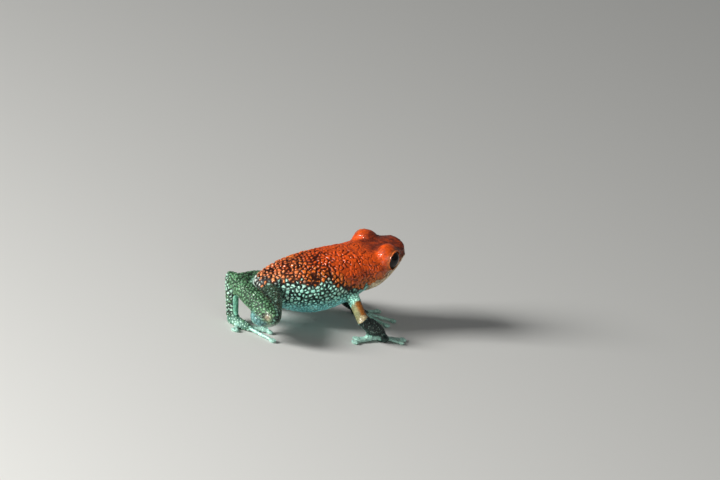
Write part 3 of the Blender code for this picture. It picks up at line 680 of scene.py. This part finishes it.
# How much of each colour a granule takes, where a number is the strength of that colour in the mix;
# a later colour lies over those before it.
seed_shares = {
    "belly": np.clip(at["belly"] + at["lower_jaw"], 0, 1),
    "leg": at["shank"] + at["tarsus"] + at["foot"],
    "thigh": at["thigh"],
    "dusk": mostly(at["forearm"] + 0.9 * at["hand"] - SURE),
    "mint": np.clip(mint, 0, 1),
    "orange": back,
    "peach": np.clip(back * peach, 0, 1),
    "gold": back * gold * GOLD_SHARE,
    "pale": rump * (0.75 + 0.25 * (jitter > 0)) * (1 - back),
}
jaw_side = smooth(station, *JAW_STATIONS) * np.clip(share["head"] + share["lower_jaw"], 0, 1)
blotches = smooth(ripples(hide.points, BLOTCH_LENGTH), *BLOTCHES)
lip = 1 - smooth(abs(mouth_over + LIP_OFFSET), *LIP_HEIGHTS)
cheek = bump(mouth_over - CHEEK_HEIGHT + FINE_BLUR * ripples(hide.points, FINE_LENGTH), CHEEK_WIDTH)
cheek *= smooth(station, *CHEEK_STATIONS)
streak = mouth_over - STREAK_HEIGHT - STREAK_BLUR * ripples(hide.points, STREAK_LENGTH)
streak = bump(streak, STREAK_WIDTH)
streak *= smooth(station, *STREAK_START) * (1 - smooth(station, *STREAK_END))
on_lid = smooth(abs(across) + LID_BLUR * ripples(hide.points, FINE_LENGTH), *LID_OUT) * (1 - snout)
# Crown and snout take maroon: partly their own darker colour, partly painted shade where the flat crown
# and the snout turn from the light; the lids keep their orange.
maroon = np.clip(crown * (1 - 0.9 * on_lid) + 0.9 * snout, 0, 1) * (1 - 0.25 * blotches)
under_cheek = jaw_side * (1 - back[own_seed]) * (1 - smooth(-mouth_over, *THROAT))
tanned = smooth(leaning + FINE_BLUR * ripples(hide.points, BLUR_LENGTH), *TANNED_FACING)
cream = jaw_side * (lip * (1 - 0.6 * blotches) + 0.5 * streak) + under_cheek * (0.9 - 0.6 * blotches)
digit = share["finger"] + share["toe"] + 0.5 * share["foot"] * (1 - granule)
# How much of each colour lies over all granules of a place, with no steps between them.
point_shares = {
    "stone": arm_low,
    # tan fades where the elbow's painted highlight lies.
    "tan": arm_low * tanned * (1 - 0.7 * elbow_highlight),
    # maroon is partly the crown's and snout's own colour, partly painted shade.
    "maroon": maroon * 0.95,
    "umber": np.clip(jaw_side * (0.8 * cheek + 0.7 * lip) + under_cheek, 0, 1),
    # cream also paints a pale highlight on the elbow.
    "cream": np.clip(cream + 0.3 * elbow_highlight, 0, 1),
    "rim": lid_edge * 0.6,
    "digit": np.clip(digit, 0, 1) * 0.9,
    "teal": strip * 0.9,
    "blue": fold,
    "shade": 0.7 * under * (1 - fold),
    "worn": 0.8 * worn,
}
# How dark the skin between granules is; it is lighter on belly, bare skin and the front of the back.
GAP_DARKNESS = {"head": 0.45, "lower_jaw": 0.40, "torso": 1.0, "upper_arm": 0.75, "forearm": 1.0,
                "hand": 0.4, "finger": 0.05, "thigh": 0.90, "shank": 0.85, "tarsus": 1.0, "foot": 0.95,
                "toe": 0.15}
LIGHT_STATIONS, LIGHT_HEIGHTS = (6.0, 10.0), (0.3, 1.2)
DARK_BELOW, DARK_UNTIL, OPEN_EXTRA = 0.05, 0.45, 0.25
darkness = by_region(GAP_DARKNESS)
darkness *= (1 - 0.7 * bare) * (1 - 0.30 * belly) * (1 - 0.6 * worn) * (1 - 0.75 * arm_low)
on_front = share["torso"] * smooth(station, *LIGHT_STATIONS) * smooth(over_border, *LIGHT_HEIGHTS)
darkness *= (1 - 0.50 * on_front) * (1 - MERGED_COLOUR * merging)
raised = 1 - darkness * (1 - smooth(inside, DARK_BELOW, DARK_UNTIL + OPEN_EXTRA * openness))
raised *= 1 - CLEFT_DARKER * cleft


def store(name, values):
    """Keeps a value of each point of the hide, for its material to read."""
    kept = hide_mesh.attributes.new(name, "FLOAT", "POINT")
    kept.data.foreach_set("value", np.asarray(values, np.float32))


# How dark the low granules' own tone is; the share of a granule's tone that is its own, the rest being a
# painted highlight over its dome; and the strength of the painted shading on the wrinkles.
LOW_TINT, GRANULE_TINT, WRINKLE_SHADING = 0.3, 0.62, 0.22
RIM_SHADE, FOLD_SHADE = 0.4, 0.25

hide_mesh = hide.store()
hide_mesh.transform(Matrix.Scale(1 / MM, 4))
hide_mesh.shade_smooth()
seed_tint = random.uniform(0, 1, len(seeds))
seed_tint[low_granules] *= LOW_TINT
# Each granule's tone: its own random share, plus a painted highlight that lightens its dome and leaves its
# sides darker; on crown and snout a painted shading lightens the wrinkles' ridges and darkens their
# furrows.
tint = GRANULE_TINT * seed_tint[own_seed] + (1 - GRANULE_TINT) * dome
tint += WRINKLE_SHADING * wrinkles * np.clip(crown + snout, 0, 1)
# Painted shade: the mouth's crease, the nostril pits, the knee crease, the ear rims and the fold behind
# the lids are darkened, as shade falls in them.
crease_shade = crease + nostril_pit + knee_crease + RIM_SHADE * ear_rim + FOLD_SHADE * lid_fold
store("raised", raised)
store("crease", np.clip(crease_shade, 0, 1))
store("tint", np.clip(tint, 0, 1))
for name, values in seed_shares.items():
    store(name, values[own_seed])
for name, values in point_shares.items():
    store(name, values)

# Colour of the granules, and of the skin between them; a later colour lies over those before it.
HIDE_COLOURS = {
    "flank": ("#9FE2CB", "#031613"),
    "belly": ("#90E8E6", "#1E6468"),
    "leg": ("#54805A", "#0A1C10"),
    "thigh": ("#40614A", "#040C09"),
    "dusk": ("#14382F", "#010302"),
    "stone": ("#7F7F58", "#30361E"),
    "tan": ("#8A5218", "#2A1606"),
    "mint": ("#BCE6D2", "#040F0B"),
    "orange": ("#BF4400", "#340900"),
    "peach": ("#EE9258", "#1C0600"),
    "gold": ("#C66A14", "#220900"),
    "pale": ("#CDD3C6", "#050A08"),
    # maroon: the crown's and snout's own darker colour, deepened with painted shade.
    "maroon": ("#661F04", "#200500"),
    "umber": ("#5E2406", "#170500"),
    "cream": ("#EAD8B2", "#7A6138"),
    "rim": ("#A8602A", "#5A3010"),
    "digit": ("#A9D2C2", "#5E9682"),
    "teal": ("#84CFB0", "#3C8A70"),
    "blue": ("#5E8C88", "#1E4642"),
    "shade": ("#62755E", "#3A4A3C"),
    "worn": ("#A58B78", "#4A3A30"),
}


def linear(code):
    """A hex colour as linear red, green, blue and alpha."""
    shares = [int(code[i:i + 2], 16) / 255 for i in (1, 3, 5)]
    return (*[c / 12.92 if c <= 0.04045 else ((c + 0.055) / 1.055) ** 2.4 for c in shares], 1.0)


def add(tree, kind, settings=None, sockets=None):
    """A node with its settings, and each socket set to a value or linked to another node's output."""
    node = tree.nodes.new(kind)
    for key, value in (settings or {}).items():
        setattr(node, key, value)
    for key, value in (sockets or {}).items():
        if isinstance(value, bpy.types.NodeSocket):
            tree.links.new(value, node.inputs[key])
        else:
            node.inputs[key].default_value = value
    return node


def new_material(name):
    """An empty material: itself, its tree and its surface shader."""
    material = bpy.data.materials.new(name)
    material.use_nodes = True
    tree = material.node_tree
    return material, tree, tree.nodes["Principled BSDF"]


# Moist skin: a clear, wet film over pigment that lies a little below the surface, so that light
# sinks in, spreads and comes back soft, with a small sharp glint on every granule. The film covers
# the whole hide, but its weight is lowered in the narrow gaps between granules as painted shade,
# so that they show few reflections, as shaded crevices would.
TINTS, FILM_SHADED_IN_GAPS = (0.55, 1.30), (0.08, 0.60)
# The near-black brown of the shade painted in creases and pits.
CREASE_SHADE_COLOUR = "#160A06"
COLOUR_MIX = {"data_type": "RGBA", "blend_type": "MIX"}
skin, tree, shader = new_material("moist_granular_skin")
top = linear(HIDE_COLOURS["flank"][0])
between = linear(HIDE_COLOURS["flank"][1])
for name, (granules, gaps) in list(HIDE_COLOURS.items())[1:]:
    amount = add(tree, "ShaderNodeAttribute", {"attribute_name": name}).outputs["Fac"]
    top = add(tree, "ShaderNodeMix", COLOUR_MIX, {0: amount, 6: top, 7: linear(granules)}).outputs[2]
    between = add(tree, "ShaderNodeMix", COLOUR_MIX, {0: amount, 6: between, 7: linear(gaps)}).outputs[2]
# The granule tone, with its painted highlight and wrinkle shading, scales the granules' colour.
read_tone_and_light = add(tree, "ShaderNodeAttribute", {"attribute_name": "tint"}).outputs["Fac"]
tint = add(tree, "ShaderNodeMapRange", {}, {0: read_tone_and_light, 3: TINTS[0], 4: TINTS[1]}).outputs[0]
tinted = add(tree, "ShaderNodeVectorMath", {"operation": "SCALE"}, {0: top, 3: tint}).outputs[0]
raised_share = add(tree, "ShaderNodeAttribute", {"attribute_name": "raised"}).outputs["Fac"]
coat = add(tree, "ShaderNodeMix", COLOUR_MIX, {0: raised_share, 6: between, 7: tinted}).outputs[2]
# Creases and pits are painted near-black, as shade.
amount = add(tree, "ShaderNodeAttribute", {"attribute_name": "crease"}).outputs["Fac"]
coat = add(tree, "ShaderNodeMix", COLOUR_MIX, {0: amount, 6: coat, 7: linear(CREASE_SHADE_COLOUR)}).outputs[2]
tree.links.new(coat, shader.inputs["Base Color"])
shader.inputs["Roughness"].default_value = 0.50
shader.inputs["IOR"].default_value = 1.35
shader.inputs["Subsurface Weight"].default_value = 0.08
shader.inputs["Subsurface Radius"].default_value = (1.0, 0.5, 0.3)
shader.inputs["Subsurface Scale"].default_value = 0.0002
shader.inputs["Coat Roughness"].default_value = 0.12
# Painted shade: the coat's weight falls in the gaps between granules, keeping reflections out of them.
film_shaded_in_gaps = add(tree, "ShaderNodeMapRange", {}, {0: raised_share, 3: FILM_SHADED_IN_GAPS[0], 4: FILM_SHADED_IN_GAPS[1]}).outputs[0]
tree.links.new(film_shaded_in_gaps, shader.inputs["Coat Weight"])
hide_mesh.materials.clear()
hide_mesh.materials.append(skin)
hide_piece = bpy.data.objects.new("hide", hide_mesh)
bpy.context.scene.collection.objects.link(hide_piece)
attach(hide_piece, "root")
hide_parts(*flesh)

# Eyes
# Round, nearly black eyeballs under a clear, wet cornea; the iris is a very dark brown, with a
# level oval pupil that shows only from close by.
EYE_SEGMENTS, EYE_RINGS = 72, 48
# Angles in degrees from the gaze, and the cornea's rise as a share of the eyeball's radius.
CORNEA_ANGLE, CORNEA_RISE = 42.0, 0.03
PUPIL_ACROSS, PUPIL_HIGH, PUPIL_SOFTNESS = 26.0, 19.0, 1.5
PUPIL_COLOUR, IRIS_COLOUR = "#020203", "#1A110C"

eye_material, tree, shader = new_material("wet_cornea_over_dark_iris")
amount = add(tree, "ShaderNodeAttribute", {"attribute_name": "iris"}).outputs["Fac"]
iris = add(tree, "ShaderNodeMix", COLOUR_MIX, {0: amount, 6: linear(PUPIL_COLOUR), 7: linear(IRIS_COLOUR)})
tree.links.new(iris.outputs[2], shader.inputs["Base Color"])
shader.inputs["Roughness"].default_value = 0.05
shader.inputs["IOR"].default_value = 1.376

for side, (centre, ball, gaze) in eyes.items():
    bm = bmesh.new()
    bmesh.ops.create_uvsphere(bm, u_segments=EYE_SEGMENTS, v_segments=EYE_RINGS, radius=1.0)
    mesh = bpy.data.meshes.new(side + "_eyeball")
    bm.to_mesh(mesh)
    bm.free()
    away = np.empty(len(mesh.vertices) * 3)
    mesh.vertices.foreach_get("co", away)
    away = away.reshape(-1, 3)
    angle = np.degrees(np.arccos(np.clip(away @ gaze, -1, 1)))
    upward = np.array([0.0, 0.0, 1.0]) - gaze * gaze[2]
    upward /= np.linalg.norm(upward)
    turn = np.arctan2(away @ upward, away @ np.cross(upward, gaze))
    pupil = PUPIL_ACROSS * np.cos(turn) ** 2 + PUPIL_HIGH * np.sin(turn) ** 2
    radius = ball * (1 + CORNEA_RISE * (1 - smooth(angle, 0.0, CORNEA_ANGLE)))
    mesh.vertices.foreach_set("co", ((centre + away * radius[:, None]) / MM).ravel())
    kept = mesh.attributes.new("iris", "FLOAT", "POINT")
    iris_share = smooth(angle - pupil, -PUPIL_SOFTNESS, PUPIL_SOFTNESS)
    kept.data.foreach_set("value", iris_share.astype(np.float32))
    mesh.shade_smooth()
    mesh.materials.append(eye_material)
    eyeball = bpy.data.objects.new(side + "_eyeball", mesh)
    bpy.context.scene.collection.objects.link(eyeball)
    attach(eyeball, "root")
    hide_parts(side + "_eye")

# Floor, light and camera
# A plain, matt, pale floor. One soft lamp stands to the left of the camera, a little over its line of
# sight, and a broad, weak one near the camera, a little to the right and low. Sizes are in metres.
FLOOR_SIZE = 8.0
bpy.ops.mesh.primitive_plane_add(size=FLOOR_SIZE)
floor = bpy.context.object
floor.name = "floor"
paper, tree, shader = new_material("pale_paper")
shader.inputs["Base Color"].default_value = linear("#D6D5D0")
shader.inputs["Roughness"].default_value = 0.8
floor.data.materials.append(paper)

world = bpy.data.worlds.new("studio")
bpy.context.scene.world = world
world.use_nodes = True
world.node_tree.nodes["Background"].inputs["Color"].default_value = linear("#E6E9EC")
world.node_tree.nodes["Background"].inputs["Strength"].default_value = 0.17

VIEW_TURN = math.radians(-34.5)
VIEW_RISE = math.radians(17.5)
VIEW_ROLL = math.radians(15.1)
CENTRE_FROM_HIPS = (9.153, -2.087, 7.039)
VIEW_CENTRE = Vector(hips + np.array(CENTRE_FROM_HIPS)) / MM
VIEW_WIDTH = 0.08276
VIEW_DISTANCE = 1.2
SENSOR = 36.0
# How far to the right, up and nearer each lamp stands as the camera sees it, then its distance and
# its size in metres, and its power in watts.
LAMPS = {
    "key": (-0.85, 0.20, 0.75, 0.40, 0.11, 2.8),
    "fill": (0.45, -0.20, 0.85, 0.50, 0.30, 0.60),
}

backward = Vector((math.sin(VIEW_TURN) * math.cos(VIEW_RISE), -math.cos(VIEW_TURN) * math.cos(VIEW_RISE),
                   math.sin(VIEW_RISE)))
level = Vector((math.cos(VIEW_TURN), math.sin(VIEW_TURN), 0.0))
upright = backward.cross(level)


def lamp(name, right, up, nearer, distance, size, power):
    """A soft square lamp, placed as the camera sees it and turned to the frog."""
    way = (level * right + upright * up + backward * nearer).normalized()
    data = bpy.data.lights.new(name, "AREA")
    data.size = size
    data.energy = power
    made = bpy.data.objects.new(name, data)
    made.location = VIEW_CENTRE + way * distance
    made.rotation_mode = "QUATERNION"
    made.rotation_quaternion = way.to_track_quat("Z", "Y")
    bpy.context.scene.collection.objects.link(made)


for name, values in LAMPS.items():
    lamp(name, *values)

camera_data = bpy.data.cameras.new("camera")
camera_data.sensor_width = SENSOR
camera_data.lens = SENSOR * VIEW_DISTANCE / VIEW_WIDTH
camera_data.clip_start = 0.01
camera_data.clip_end = 20.0
camera = bpy.data.objects.new("camera", camera_data)
camera.location = VIEW_CENTRE + backward * VIEW_DISTANCE
across_axis = level * math.cos(VIEW_ROLL) + upright * math.sin(VIEW_ROLL)
up_axis = upright * math.cos(VIEW_ROLL) - level * math.sin(VIEW_ROLL)
camera.rotation_mode = "QUATERNION"
camera.rotation_quaternion = Matrix((across_axis, up_axis, backward)).transposed().to_quaternion()
bpy.context.scene.collection.objects.link(camera)
bpy.context.scene.camera = camera
bpy.context.scene.view_settings.view_transform = "Standard"
